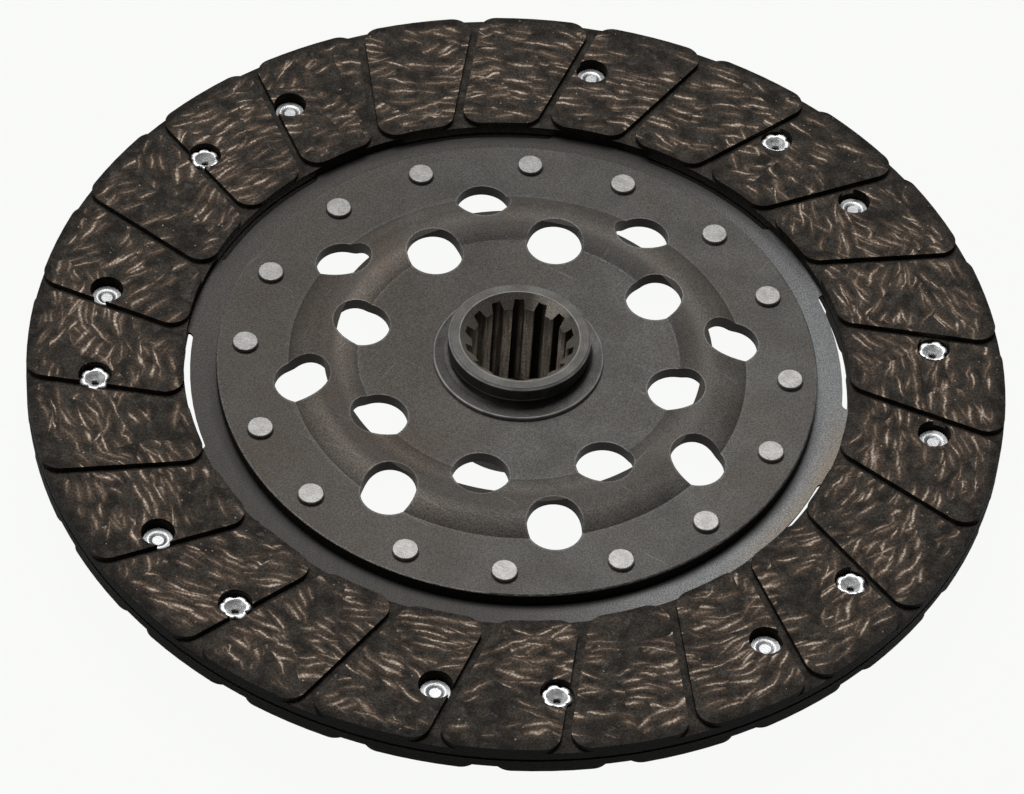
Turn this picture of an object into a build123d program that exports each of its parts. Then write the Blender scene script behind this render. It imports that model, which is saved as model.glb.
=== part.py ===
"""Single-plate dry clutch disc with a rigid splined hub.

Frame: the disc's axis is Z, with the engine side up.
Z = 0 is the middle plane of the cushion plate, which lies between the two friction facings.
All sizes are in millimetres and all angles in degrees.
"""

import math
import os

from build123d import *

# Friction facings
FACING_OUTER_R = 114.0
BARE_RING_WIDTH = 7.6  # cushion plate left bare between the hub plate and the facings
FACING_THICKNESS = 3.46
GROOVE_COUNT = 24
GROOVE_WIDTH = 2.0
GROOVE_DEPTH = 1.35
GROOVE_OFFSET = 25.2  # how far each groove's centre line passes from the axis
GROOVE_PHASE_TOP = -3.9
GROOVE_PHASE_BOTTOM = 13.65
PAD_CORNER_R = 4.4

# Cushion plate: one spring-steel ring with paddles that carry the facings
CUSHION_THICKNESS = 0.7
CUSHION_LAP = 12.1  # how far the ring reaches in under the hub plate
CUSHION_INSET = 3.0  # how far it stops short of the facings' rim
PADDLE_COUNT = 8
PADDLE_PHASE = 1.05  # angle of the first paddle's middle
SLOT_REVEAL = 1.5  # how much of the slot's width shows inside the facings
SLOT_WIDTH = 2.8
SLOT_BEFORE_MIDDLE = 2.5  # the slot starts this far before the paddle's middle
SLIT_WIDTH = 2.2

# Hub plate: a drawn steel disc with a raised bead between two flat lands
PLATE_OUTER_R = 70.1
PLATE_THICKNESS = 2.85
PLATE_INNER_RISE = 1.9  # the inner land lies this much above the outer land
BEAD_INNER_R = 37.5
OUTER_LAND_WIDTH = 16.7
BEAD_HEIGHT = 2.55  # above the straight line between the bead's two edges
RIM_ROUND_R = 0.4  # the rolled-over upper edge of the blanked rim
PLATE_HOLE_COUNT = 8
INNER_HOLE_DIA = 13.2
INNER_HOLE_OFFSET = 0.1  # from the bead's inner edge, outwards
INNER_HOLE_PHASE = 35.6
OUTER_HOLE_DIA = 12.8
OUTER_HOLE_OFFSET = 2.7  # from the bead's outer edge, inwards
OUTER_HOLE_PHASE = 13.3

# Rivets that join the hub plate and the cushion plate
PLATE_RIVET_PAIR_COUNT = 8
PLATE_RIVET_INSET = 6.5  # from the hub plate's rim
PLATE_RIVET_PHASES = (1.15, 25.35)
PLATE_RIVET_SHANK_DIA = 4.2
PLATE_RIVET_HEAD_DIA = 6.1
PLATE_RIVET_HEAD_HEIGHT = 1.05
PLATE_RIVET_EDGE_R = 0.35

# Tubular rivets that hold the facings
FACING_RIVET_INSET = 15.8  # from the facings' rim
DOWN_RIVET_PHASE = 38.2  # smooth head up, crimped end in the lower facing
UP_RIVET_PHASE = 53.95  # crimped end up, in the upper facing
LEFT_OUT_UP_RIVET = 1  # this station of the ring has no rivet
FACING_HOLE_DIA = 7.8
FACING_LEDGE = 1.05  # facing left under the crimped end
FACING_RIVET_SHANK_DIA = 4.0
FACING_RIVET_HEAD_DIA = 7.0
FACING_RIVET_HEAD_HEIGHT = 0.75
FACING_RIVET_BORE_DIA = 2.7
CRIMP_DIA = 6.7
CRIMP_HEIGHT = 0.65
CRIMP_LIP_DIA = 4.2  # the mouth of the curled end
CRIMP_NOTCH_DIA = 5.4  # how far in the splits between the petals reach
CRIMP_PETAL_COUNT = 6
CRIMP_PETAL_R = 0.9
RIVET_FIT = 0.05  # gap between a rivet's shank and its hole, all round

# Hub
HUB_R = 16.6
HUB_TOP_Z = 12.4
HUB_LENGTH = 30.0
HUB_CHAMFER = 0.5
BAND_HEIGHT = 3.9
NECK_DEPTH = 0.7
COLLAR_LAP = 2.3  # how far the collar reaches out over the hub plate
COLLAR_HEIGHT = 0.95
COLLAR_SLOPE = 0.9
COLLAR_ROUND_R = 0.35
SEAT_STEP = 1.0
FLANGE_LAP = 9.4  # how far the flange reaches out under the hub plate
FLANGE_THICKNESS = 4.0
SPLINE_TOOTH_COUNT = 14
SPLINE_MAJOR_R = 12.7
SPLINE_DEPTH = 1.7
SPLINE_SPACE_OUTER = 2.1
SPLINE_SPACE_INNER = 2.9
SPLINE_PHASE = 16.95
MOUTH_CHAMFER = 1.2  # from the spline spaces' bottom out to the mouth's edge
SEAT_FIT = 0.05  # gap between the hub's seat and the hub plate's bore

# Sizes that follow from the ones above
FACING_INNER_R = PLATE_OUTER_R + BARE_RING_WIDTH
FACING_RIVET_CIRCLE_R = FACING_OUTER_R - FACING_RIVET_INSET
CUSHION_INNER_R = PLATE_OUTER_R - CUSHION_LAP
CUSHION_OUTER_R = FACING_OUTER_R - CUSHION_INSET
SLOT_INNER_R = FACING_INNER_R - SLOT_REVEAL
BEAD_OUTER_R = PLATE_OUTER_R - OUTER_LAND_WIDTH
INNER_HOLE_CIRCLE_R = BEAD_INNER_R + INNER_HOLE_OFFSET
OUTER_HOLE_CIRCLE_R = BEAD_OUTER_R - OUTER_HOLE_OFFSET
PLATE_RIVET_CIRCLE_R = PLATE_OUTER_R - PLATE_RIVET_INSET
NECK_R = HUB_R - NECK_DEPTH
SEAT_R = HUB_R + SEAT_STEP
COLLAR_R = SEAT_R + COLLAR_LAP
FLANGE_R = SEAT_R + FLANGE_LAP
SPLINE_MINOR_R = SPLINE_MAJOR_R - SPLINE_DEPTH
MOUTH_R = SPLINE_MAJOR_R + MOUTH_CHAMFER

# Heights that follow
CUSHION_TOP = CUSHION_THICKNESS / 2
PLATE_OUTER_TOP = CUSHION_TOP + PLATE_THICKNESS
PLATE_INNER_TOP = PLATE_OUTER_TOP + PLATE_INNER_RISE
PLATE_INNER_BOTTOM = PLATE_INNER_TOP - PLATE_THICKNESS


def polar(radius, angle):
    """Return the X and Y of a point from its radius and angle."""
    return radius * math.cos(math.radians(angle)), radius * math.sin(math.radians(angle))


def stations(count, phase):
    """Return evenly spaced angles, the first at the given phase."""
    return [phase + 360 / count * index for index in range(count)]


def ring(outer_r, inner_r):
    """Return a flat annulus about the axis."""
    return Circle(outer_r) - Circle(inner_r)


def turned(profile):
    """Return the solid made by turning a radius-and-height profile about Z."""
    return revolve(Plane.XZ * profile, Axis.Z)


def top_edge(solid, radius):
    """Return the highest round edge of a turned solid that has the given radius."""
    edges = solid.edges().filter_by(GeomType.CIRCLE)
    return edges.filter_by(lambda edge: math.isclose(edge.radius, radius)).sort_by(Axis.Z)[-1]


def drill(places, diameter, bottom, top):
    """Return upright cylinders at radius-and-angle places, to be cut away."""
    height = top - bottom
    return [
        Pos(*polar(radius, angle), bottom + height / 2) * Cylinder(diameter / 2, height)
        for radius, angle in places
    ]


def on_circle(radius, angles):
    """Pair one radius with each angle."""
    return [(radius, angle) for angle in angles]


def down_rivet_angles():
    """Return where the rivets with the smooth head up stand."""
    return stations(PADDLE_COUNT, DOWN_RIVET_PHASE)


def up_rivet_angles():
    """Return where the rivets with the crimped end up stand."""
    angles = stations(PADDLE_COUNT, UP_RIVET_PHASE)
    angles.pop(LEFT_OUT_UP_RIVET)
    return angles


def plate_rivet_angles():
    """Return where the hub plate's rivets stand, in uneven pairs."""
    return sorted(
        angle for phase in PLATE_RIVET_PHASES for angle in stations(PLATE_RIVET_PAIR_COUNT, phase)
    )


def make_facing(groove_phase, crimp_angles, clearance_angles):
    """Return a facing that lies on its back at height 0, with its pads up."""
    blank = ring(FACING_OUTER_R, FACING_INNER_R)
    groove_end = FACING_OUTER_R + GROOVE_WIDTH
    groove = Pos(groove_end / 2, GROOVE_OFFSET) * Rectangle(groove_end, GROOVE_WIDTH)
    grooves = [Rot(Z=angle) * groove for angle in stations(GROOVE_COUNT, groove_phase)]
    pads = blank - grooves
    pads = fillet(pads.vertices(), PAD_CORNER_R)
    backing = FACING_THICKNESS - GROOVE_DEPTH
    facing = extrude(blank, backing) + Pos(0, 0, backing) * extrude(pads, GROOVE_DEPTH)
    shank_hole = FACING_RIVET_SHANK_DIA + 2 * RIVET_FIT
    crimp_places = on_circle(FACING_RIVET_CIRCLE_R, crimp_angles)
    clearance_places = on_circle(FACING_RIVET_CIRCLE_R, clearance_angles)
    facing -= drill(crimp_places, shank_hole, 0, FACING_THICKNESS)
    facing -= drill(crimp_places, FACING_HOLE_DIA, FACING_LEDGE, FACING_THICKNESS)
    facing -= drill(clearance_places, FACING_HOLE_DIA, 0, FACING_THICKNESS)
    return facing


def make_upper_facing():
    """Return the facing on the engine side."""
    facing = make_facing(GROOVE_PHASE_TOP, up_rivet_angles(), down_rivet_angles())
    return Pos(0, 0, CUSHION_TOP) * facing


def make_lower_facing():
    """Return the facing on the gearbox side: the same kind of ring, turned over."""
    crimp_angles = [-angle for angle in down_rivet_angles()]
    clearance_angles = [-angle for angle in up_rivet_angles()]
    facing = make_facing(-GROOVE_PHASE_BOTTOM, crimp_angles, clearance_angles)
    return Rot(X=180) * Pos(0, 0, CUSHION_TOP) * facing


def make_cushion_plate():
    """Return the spring-steel ring, with a paddle under each pair of facing rivets."""
    sheet = ring(CUSHION_OUTER_R, CUSHION_INNER_R)
    half_pitch = 180 / PADDLE_COUNT
    slot_r = SLOT_INNER_R + SLOT_WIDTH / 2
    slit_length = CUSHION_OUTER_R - slot_r + SLIT_WIDTH
    for middle in stations(PADDLE_COUNT, PADDLE_PHASE):
        slot_line = CenterArc((0, 0), slot_r, middle - SLOT_BEFORE_MIDDLE, SLOT_BEFORE_MIDDLE + half_pitch)
        sheet -= SlotArc(slot_line, SLOT_WIDTH)
        slit = Pos(slot_r + slit_length / 2, 0) * Rectangle(slit_length, SLIT_WIDTH)
        sheet -= Rot(Z=middle + half_pitch) * slit
    plate = Pos(0, 0, -CUSHION_TOP) * extrude(sheet, CUSHION_THICKNESS)
    facing_places = on_circle(FACING_RIVET_CIRCLE_R, down_rivet_angles() + up_rivet_angles())
    facing_hole = FACING_RIVET_SHANK_DIA + 2 * RIVET_FIT
    plate -= drill(facing_places, facing_hole, -CUSHION_TOP, CUSHION_TOP)
    plate_places = on_circle(PLATE_RIVET_CIRCLE_R, plate_rivet_angles())
    plate_hole = PLATE_RIVET_SHANK_DIA + 2 * RIVET_FIT
    plate -= drill(plate_places, plate_hole, -CUSHION_TOP, CUSHION_TOP)
    return plate


def make_hub_plate():
    """Return the drawn disc: an inner land, a raised bead and an outer land."""
    bore_r = SEAT_R + SEAT_FIT
    bead_middle_r = (BEAD_INNER_R + BEAD_OUTER_R) / 2
    bead_top = (PLATE_INNER_TOP + PLATE_OUTER_TOP) / 2 + BEAD_HEIGHT
    inner_edge = (BEAD_INNER_R, PLATE_INNER_TOP)
    outer_edge = (BEAD_OUTER_R, PLATE_OUTER_TOP)
    inner_land = Line((bore_r, PLATE_INNER_TOP), inner_edge)
    bead = ThreePointArc(inner_edge, (bead_middle_r, bead_top), outer_edge)
    outer_land = Line(outer_edge, (PLATE_OUTER_R, PLATE_OUTER_TOP))
    top_line = Wire([inner_land, bead, outer_land])
    section = make_face(offset(top_line, PLATE_THICKNESS, side=Side.RIGHT, closed=True))
    plate = turned(section)
    plate = fillet(top_edge(plate, PLATE_OUTER_R), RIM_ROUND_R)
    places = on_circle(INNER_HOLE_CIRCLE_R, stations(PLATE_HOLE_COUNT, INNER_HOLE_PHASE))
    plate -= drill(places, INNER_HOLE_DIA, CUSHION_TOP, bead_top)
    places = on_circle(OUTER_HOLE_CIRCLE_R, stations(PLATE_HOLE_COUNT, OUTER_HOLE_PHASE))
    plate -= drill(places, OUTER_HOLE_DIA, CUSHION_TOP, bead_top)
    places = on_circle(PLATE_RIVET_CIRCLE_R, plate_rivet_angles())
    plate -= drill(places, PLATE_RIVET_SHANK_DIA + 2 * RIVET_FIT, CUSHION_TOP, PLATE_OUTER_TOP)
    return plate


def make_hub():
    """Return the hub: a splined sleeve staked into the hub plate between a flange and a collar."""
    bottom = HUB_TOP_Z - HUB_LENGTH
    band_bottom = HUB_TOP_Z - BAND_HEIGHT
    collar_top = PLATE_INNER_TOP + COLLAR_HEIGHT
    flange_bottom = PLATE_INNER_BOTTOM - FLANGE_THICKNESS
    mouth_depth = MOUTH_R - SPLINE_MINOR_R
    section = Polygon(
        (SPLINE_MINOR_R, bottom + mouth_depth),
        (MOUTH_R, bottom),
        (HUB_R - HUB_CHAMFER, bottom),
        (HUB_R, bottom + HUB_CHAMFER),
        (HUB_R, flange_bottom),
        (FLANGE_R, flange_bottom),
        (FLANGE_R, PLATE_INNER_BOTTOM),
        (SEAT_R, PLATE_INNER_BOTTOM),
        (SEAT_R, PLATE_INNER_TOP),
        (COLLAR_R, PLATE_INNER_TOP),
        (COLLAR_R, collar_top),
        (NECK_R, collar_top + COLLAR_SLOPE),
        (NECK_R, band_bottom),
        (HUB_R, band_bottom),
        (HUB_R, HUB_TOP_Z - HUB_CHAMFER),
        (HUB_R - HUB_CHAMFER, HUB_TOP_Z),
        (MOUTH_R, HUB_TOP_Z),
        (SPLINE_MINOR_R, HUB_TOP_Z - mouth_depth),
        align=None,
    )
    hub = turned(section)
    hub = fillet(top_edge(hub, COLLAR_R), COLLAR_ROUND_R)
    space = Polygon(
        (SPLINE_MINOR_R - SPLINE_SPACE_OUTER, -SPLINE_SPACE_INNER / 2),
        (SPLINE_MINOR_R, -SPLINE_SPACE_INNER / 2),
        (SPLINE_MAJOR_R, -SPLINE_SPACE_OUTER / 2),
        (SPLINE_MAJOR_R, SPLINE_SPACE_OUTER / 2),
        (SPLINE_MINOR_R, SPLINE_SPACE_INNER / 2),
        (SPLINE_MINOR_R - SPLINE_SPACE_OUTER, SPLINE_SPACE_INNER / 2),
        align=None,
    )
    spaces = Sketch() + [Rot(Z=angle) * space for angle in stations(SPLINE_TOOTH_COUNT, SPLINE_PHASE)]
    hub -= Pos(0, 0, bottom) * extrude(spaces, HUB_LENGTH)
    return hub


def make_plate_rivet(angle):
    """Return a solid rivet with a flat head on each side."""
    grip = PLATE_THICKNESS + CUSHION_THICKNESS
    head = extrude(Circle(PLATE_RIVET_HEAD_DIA / 2), PLATE_RIVET_HEAD_HEIGHT)
    head = fillet(head.edges().sort_by(Axis.Z)[-1], PLATE_RIVET_EDGE_R)
    shank = extrude(Circle(PLATE_RIVET_SHANK_DIA / 2), grip)
    rivet = shank + Pos(0, 0, grip) * head + Rot(X=180) * head
    return Pos(*polar(PLATE_RIVET_CIRCLE_R, angle), -CUSHION_TOP) * rivet


def facing_rivet():
    """Return a tubular rivet that stands on its head at height 0, with its end curled over."""
    grip = CUSHION_THICKNESS + FACING_LEDGE
    head_r = FACING_RIVET_HEAD_DIA / 2
    shank_r = FACING_RIVET_SHANK_DIA / 2
    bore_r = FACING_RIVET_BORE_DIA / 2
    crimp_r = CRIMP_DIA / 2
    crimp_top = grip + CRIMP_HEIGHT
    lip_r = CRIMP_LIP_DIA / 2
    crest_r = (crimp_r + lip_r) / 2
    dish_r = (head_r + bore_r) / 2
    dish_depth = FACING_RIVET_HEAD_HEIGHT / 2
    bottom = -FACING_RIVET_HEAD_HEIGHT
    section = Polygon(
        (0, bottom + dish_depth),
        (bore_r, bottom + dish_depth),
        (dish_r - dish_depth / 2, bottom),
        (head_r - dish_depth / 2, bottom),
        (head_r, bottom + dish_depth / 2),
        (head_r, 0),
        (shank_r, 0),
        (shank_r, grip),
        (crimp_r, grip),
        (crimp_r, grip + CRIMP_HEIGHT / 2),
        (crest_r, crimp_top),
        (lip_r, crimp_top),
        ((lip_r + bore_r) / 2, crimp_top - CRIMP_HEIGHT / 3),
        (bore_r, grip),
        (bore_r, 0),
        (0, 0),
        align=None,
    )
    flower = Circle(CRIMP_NOTCH_DIA / 2)
    for angle in stations(CRIMP_PETAL_COUNT, 0):
        flower += Pos(*polar(crimp_r - CRIMP_PETAL_R, angle)) * Circle(CRIMP_PETAL_R)
    outline = extrude(flower, crimp_top) + Pos(0, 0, bottom) * extrude(Circle(head_r), -bottom)
    return turned(section) & outline


def make_up_rivet(angle):
    """Return a facing rivet whose crimped end holds the upper facing."""
    return Pos(*polar(FACING_RIVET_CIRCLE_R, angle), -CUSHION_TOP) * facing_rivet()


def make_down_rivet(angle):
    """Return a facing rivet whose crimped end holds the lower facing."""
    turned_over = Rot(X=180) * facing_rivet()
    return Pos(*polar(FACING_RIVET_CIRCLE_R, angle), CUSHION_TOP) * turned_over


def save_each(name, make_rivet, angles):
    """Write one file for each rivet, numbered from 1."""
    for number, angle in enumerate(angles, start=1):
        export_step(make_rivet(angle), f"parts/{name}_{number:02d}.step")


os.makedirs("parts", exist_ok=True)
export_step(make_hub(), "parts/hub.step")
export_step(make_hub_plate(), "parts/hub_plate.step")
export_step(make_cushion_plate(), "parts/cushion_plate.step")
export_step(make_upper_facing(), "parts/upper_facing.step")
export_step(make_lower_facing(), "parts/lower_facing.step")
save_each("plate_rivet", make_plate_rivet, plate_rivet_angles())
save_each("facing_rivet_up", make_up_rivet, up_rivet_angles())
save_each("facing_rivet_down", make_down_rivet, down_rivet_angles())
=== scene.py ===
"""Dresses the clutch disc: woven friction lining, pressed and turned steels, and bright rivets.

Every object is in metres in the frame of the solid model. Z is the disc's axis, the engine side
is up, and Z = 0 is the middle plane of the cushion plate. The disc stands on its hub's lower end.
Patterns are laid out in millimetres, because the sizes of strands and grain are easier to read so.
"""

import logging
import math
from dataclasses import dataclass
from enum import Enum
from typing import Any, Mapping, Optional, Sequence, Union

import bmesh
import bpy
from mathutils import Matrix, Vector

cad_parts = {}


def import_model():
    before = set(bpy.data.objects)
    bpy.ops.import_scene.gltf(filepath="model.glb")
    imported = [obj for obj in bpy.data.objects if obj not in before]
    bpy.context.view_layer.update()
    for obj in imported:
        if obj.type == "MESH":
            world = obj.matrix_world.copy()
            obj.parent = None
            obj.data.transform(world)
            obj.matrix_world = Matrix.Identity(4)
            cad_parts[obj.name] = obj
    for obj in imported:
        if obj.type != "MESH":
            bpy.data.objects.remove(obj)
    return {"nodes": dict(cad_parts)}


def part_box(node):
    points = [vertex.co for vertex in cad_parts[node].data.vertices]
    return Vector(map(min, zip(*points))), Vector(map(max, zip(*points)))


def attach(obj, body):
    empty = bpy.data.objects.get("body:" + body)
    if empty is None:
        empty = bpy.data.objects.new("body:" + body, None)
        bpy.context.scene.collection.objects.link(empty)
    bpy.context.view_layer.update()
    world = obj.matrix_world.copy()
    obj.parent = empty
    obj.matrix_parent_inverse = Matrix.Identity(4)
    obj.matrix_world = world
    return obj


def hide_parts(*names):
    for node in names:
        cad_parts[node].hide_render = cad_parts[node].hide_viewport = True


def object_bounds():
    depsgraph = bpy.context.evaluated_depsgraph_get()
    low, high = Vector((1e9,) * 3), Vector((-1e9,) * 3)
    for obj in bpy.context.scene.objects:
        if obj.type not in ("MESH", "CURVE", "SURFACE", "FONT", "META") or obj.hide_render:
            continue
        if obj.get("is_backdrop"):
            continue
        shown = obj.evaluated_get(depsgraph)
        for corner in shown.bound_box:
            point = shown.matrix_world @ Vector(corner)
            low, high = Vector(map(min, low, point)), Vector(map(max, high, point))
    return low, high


logging.basicConfig(level=logging.INFO, format="%(message)s")
log = logging.getLogger("clutch_disc")

MM = 0.001

Colour = tuple[float, float, float]
Amount = Union[float, "Signal"]
Tint = Union[Colour, "Signal"]


class Steel(Enum):
    """How far a steel's surface is from bare metal, as its Metallic value."""

    PHOSPHATED = 0.45
    OILED = 0.60
    BARE = 0.80


# ---- Shader expressions ----


class Signal:
    """An output socket that can be used in sums like a number."""

    def __init__(self, graph: "Graph", socket: bpy.types.NodeSocket) -> None:
        """Wrap a socket of a graph."""
        self.graph = graph
        self.socket = socket

    def __add__(self, other: Amount) -> "Signal":
        """Return self + other."""
        return self.graph.math("ADD", self, other)

    __radd__ = __add__

    def __sub__(self, other: Amount) -> "Signal":
        """Return self - other."""
        return self.graph.math("SUBTRACT", self, other)

    def __rsub__(self, other: Amount) -> "Signal":
        """Return other - self."""
        return self.graph.math("SUBTRACT", other, self)

    def __mul__(self, other: Amount) -> "Signal":
        """Return self * other."""
        return self.graph.math("MULTIPLY", self, other)

    __rmul__ = __mul__

    def __truediv__(self, other: Amount) -> "Signal":
        """Return self / other."""
        return self.graph.math("DIVIDE", self, other)

    def __gt__(self, other: Amount) -> "Signal":
        """Return 1 where self is greater than other, else 0."""
        return self.graph.math("GREATER_THAN", self, other)

    def __lt__(self, other: Amount) -> "Signal":
        """Return 1 where self is less than other, else 0."""
        return self.graph.math("LESS_THAN", self, other)

    def __abs__(self) -> "Signal":
        """Return self without its sign."""
        return self.graph.math("ABSOLUTE", self)

    def __pow__(self, power: Amount) -> "Signal":
        """Return self to a power."""
        return self.graph.math("POWER", self, power)


class Graph:
    """The node tree of one material, with short ways to add what the finishes need."""

    def __init__(self, name: str) -> None:
        """Start an empty material with that name.

        Args:
            name: The material's name.
        """
        self.material = bpy.data.materials.new(name)
        self.material.use_nodes = True
        self.tree = self.material.node_tree
        self.tree.nodes.clear()

    def node(
        self,
        kind: str,
        settings: Optional[Mapping[str, Any]] = None,
        inputs: Optional[Mapping[Union[int, str], Any]] = None,
    ) -> bpy.types.Node:
        """Add a node, set it up and feed its sockets.

        Args:
            kind: The node's Blender type.
            settings: Properties by name.
            inputs: Values or signals by socket name or number.

        Returns:
            The new node.
        """
        made = self.tree.nodes.new(kind)
        for name, value in (settings or {}).items():
            setattr(made, name, value)
        for key, value in (inputs or {}).items():
            if isinstance(value, Signal):
                self.tree.links.new(value.socket, made.inputs[key])
            elif isinstance(value, tuple) and made.inputs[key].type == "RGBA":
                made.inputs[key].default_value = (*value, 1.0)
            else:
                made.inputs[key].default_value = value
        return made

    def out(self, made: bpy.types.Node, socket: Union[int, str] = 0) -> Signal:
        """Return one output of a node as a signal."""
        return Signal(self, made.outputs[socket])

    def math(self, operation: str, *operands: Amount) -> Signal:
        """Return the result of one Math node."""
        made = self.node("ShaderNodeMath", {"operation": operation}, dict(enumerate(operands)))
        return self.out(made)

    def vector(self, operation: str, *operands: Any) -> Signal:
        """Return the vector result of one Vector Math node."""
        settings = {"operation": operation}
        made = self.node("ShaderNodeVectorMath", settings, dict(enumerate(operands)))
        return self.out(made, "Vector")

    def scaled(self, vector: Signal, factor: float) -> Signal:
        """Return a vector times a number."""
        settings = {"operation": "SCALE"}
        made = self.node("ShaderNodeVectorMath", settings, {0: vector, "Scale": factor})
        return self.out(made, "Vector")

    def parts(self, vector: Signal) -> tuple[Signal, Signal, Signal]:
        """Return a vector's three parts."""
        made = self.node("ShaderNodeSeparateXYZ", inputs={0: vector})
        return self.out(made, 0), self.out(made, 1), self.out(made, 2)

    def largest(self, first: Amount, second: Amount) -> Signal:
        """Return the larger of two amounts."""
        return self.math("MAXIMUM", first, second)

    def smooth(self, value: Amount, start: float, end: float) -> Signal:
        """Return 0 before start and 1 past end, with a smooth rise or fall between.

        Args:
            value: What is mapped.
            start: Where the result is 0.
            end: Where the result is 1. It may lie below start.

        Returns:
            The mapped amount.
        """
        settings = {"interpolation_type": "SMOOTHSTEP"}
        made = self.node("ShaderNodeMapRange", settings, {0: value, 1: start, 2: end})
        return self.out(made)

    def blend(self, factor: Amount, first: Tint, second: Tint, mode: str = "MIX") -> Signal:
        """Return a mix of two colours.

        Args:
            factor: 0 for the first colour, 1 for the second.
            first: The first colour.
            second: The second colour.
            mode: The Mix node's blend type.

        Returns:
            The mixed colour.
        """
        settings = {"data_type": "RGBA", "blend_type": mode}
        made = self.node("ShaderNodeMix", settings, {0: factor, 6: first, 7: second})
        return self.out(made, 2)

    def seeded(self, place: Signal, seed: float) -> Signal:
        """Return a place moved to where the noise is unlike that of other seeds."""
        return self.vector("ADD", place, (37.0 * seed, 23.0 * seed, 11.0 * seed))

    def noise(self, place: Signal, size: float, detail: float = 2.0, seed: float = 0.0) -> Signal:
        """Return smooth noise from 0 to 1.

        Args:
            place: Where it is read, in millimetres.
            size: The size of its patches, in millimetres.
            detail: How many finer octaves it has.
            seed: A number that makes it differ from other noise.

        Returns:
            The noise.
        """
        inputs = {"Vector": self.seeded(place, seed), "Scale": 1 / size, "Detail": detail}
        return self.out(self.node("ShaderNodeTexNoise", inputs=inputs))

    def warp(self, place: Signal, size: float, reach: float, seed: float) -> Signal:
        """Return a place pushed about by smooth noise.

        Args:
            place: The place, in millimetres.
            size: The size of the bends, in millimetres.
            reach: How far a point may be pushed, in millimetres.
            seed: A number that makes it differ from other noise.

        Returns:
            The pushed place.
        """
        inputs = {"Vector": self.seeded(place, seed), "Scale": 1 / size, "Detail": 1.0}
        made = self.node("ShaderNodeTexNoise", inputs=inputs)
        centred = self.vector("SUBTRACT", self.out(made, "Color"), (0.5, 0.5, 0.5))
        return self.vector("ADD", place, self.scaled(centred, 2 * reach))

    def turned(self, place: Signal, angle: Amount) -> Signal:
        """Return a place turned about the axis by an angle in radians."""
        inputs = {"Vector": place, "Angle": angle}
        return self.out(self.node("ShaderNodeVectorRotate", {"rotation_type": "Z_AXIS"}, inputs))

    def cells(self, place: Signal, dimensions: str, randomness: float = 1.0) -> "Cells":
        """Return a pattern of random cells, about 1 across.

        Args:
            place: Where it is read.
            dimensions: "2D" or "3D".
            randomness: How unevenly the cells lie, from 0 to 1.

        Returns:
            The pattern's outputs.
        """
        settings = {"voronoi_dimensions": dimensions, "feature": "F1"}
        inputs = {"Vector": place, "Scale": 1.0, "Randomness": randomness}
        made = self.node("ShaderNodeTexVoronoi", settings, inputs)
        lots = self.parts(self.out(made, "Color"))
        return Cells(self.out(made, "Distance"), self.out(made, "Position"), lots)

    def triple(self, amount: Signal) -> Signal:
        """Return a colour or a vector whose three parts are all the same amount."""
        made = self.node("ShaderNodeCombineXYZ", inputs={0: amount, 1: amount, 2: amount})
        return self.out(made)

    def shaded(self, colour: Signal, amount: Signal) -> Signal:
        """Return a colour times an amount."""
        return self.blend(1.0, colour, self.triple(amount), "MULTIPLY")

    def grainy(self, colour: Signal, grain: Signal, contrast: float) -> Signal:
        """Return a colour made lighter and darker by fine noise.

        Args:
            colour: The plain colour.
            grain: Fine noise from 0 to 1.
            contrast: How far the colour goes up and down, as a share of it.

        Returns:
            The grainy colour.
        """
        return self.shaded(colour, (1 - contrast) + 2 * contrast * self.smooth(grain, 0.34, 0.66))

    def bump(self, height: Signal, depth: float, under: Optional[Signal] = None) -> Signal:
        """Return a normal that follows a height.

        Args:
            height: The height, from 0 to 1.
            depth: What 1 stands for, in metres.
            under: A normal that this one is laid over.

        Returns:
            The bumped normal.
        """
        inputs: dict[Union[int, str], Any] = {"Height": height, "Distance": depth, "Strength": 1.0}
        if under is not None:
            inputs["Normal"] = under
        return self.out(self.node("ShaderNodeBump", inputs=inputs))

    def finish(self, **sockets: Any) -> bpy.types.Material:
        """Close the material with a Principled BSDF.

        Args:
            **sockets: Values or signals for its sockets, with _ for a space in their names.

        Returns:
            The finished material.
        """
        inputs = {name.replace("_", " "): value for name, value in sockets.items()}
        shader = self.node("ShaderNodeBsdfPrincipled", inputs=inputs)
        self.node("ShaderNodeOutputMaterial", inputs={"Surface": self.out(shader)})
        return self.material


@dataclass(frozen=True)
class Cells:
    """A cell pattern: how far off and where the cell's middle is, and three numbers of its own."""

    distance: Signal
    middle: Signal
    lots: tuple[Signal, Signal, Signal]


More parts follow.
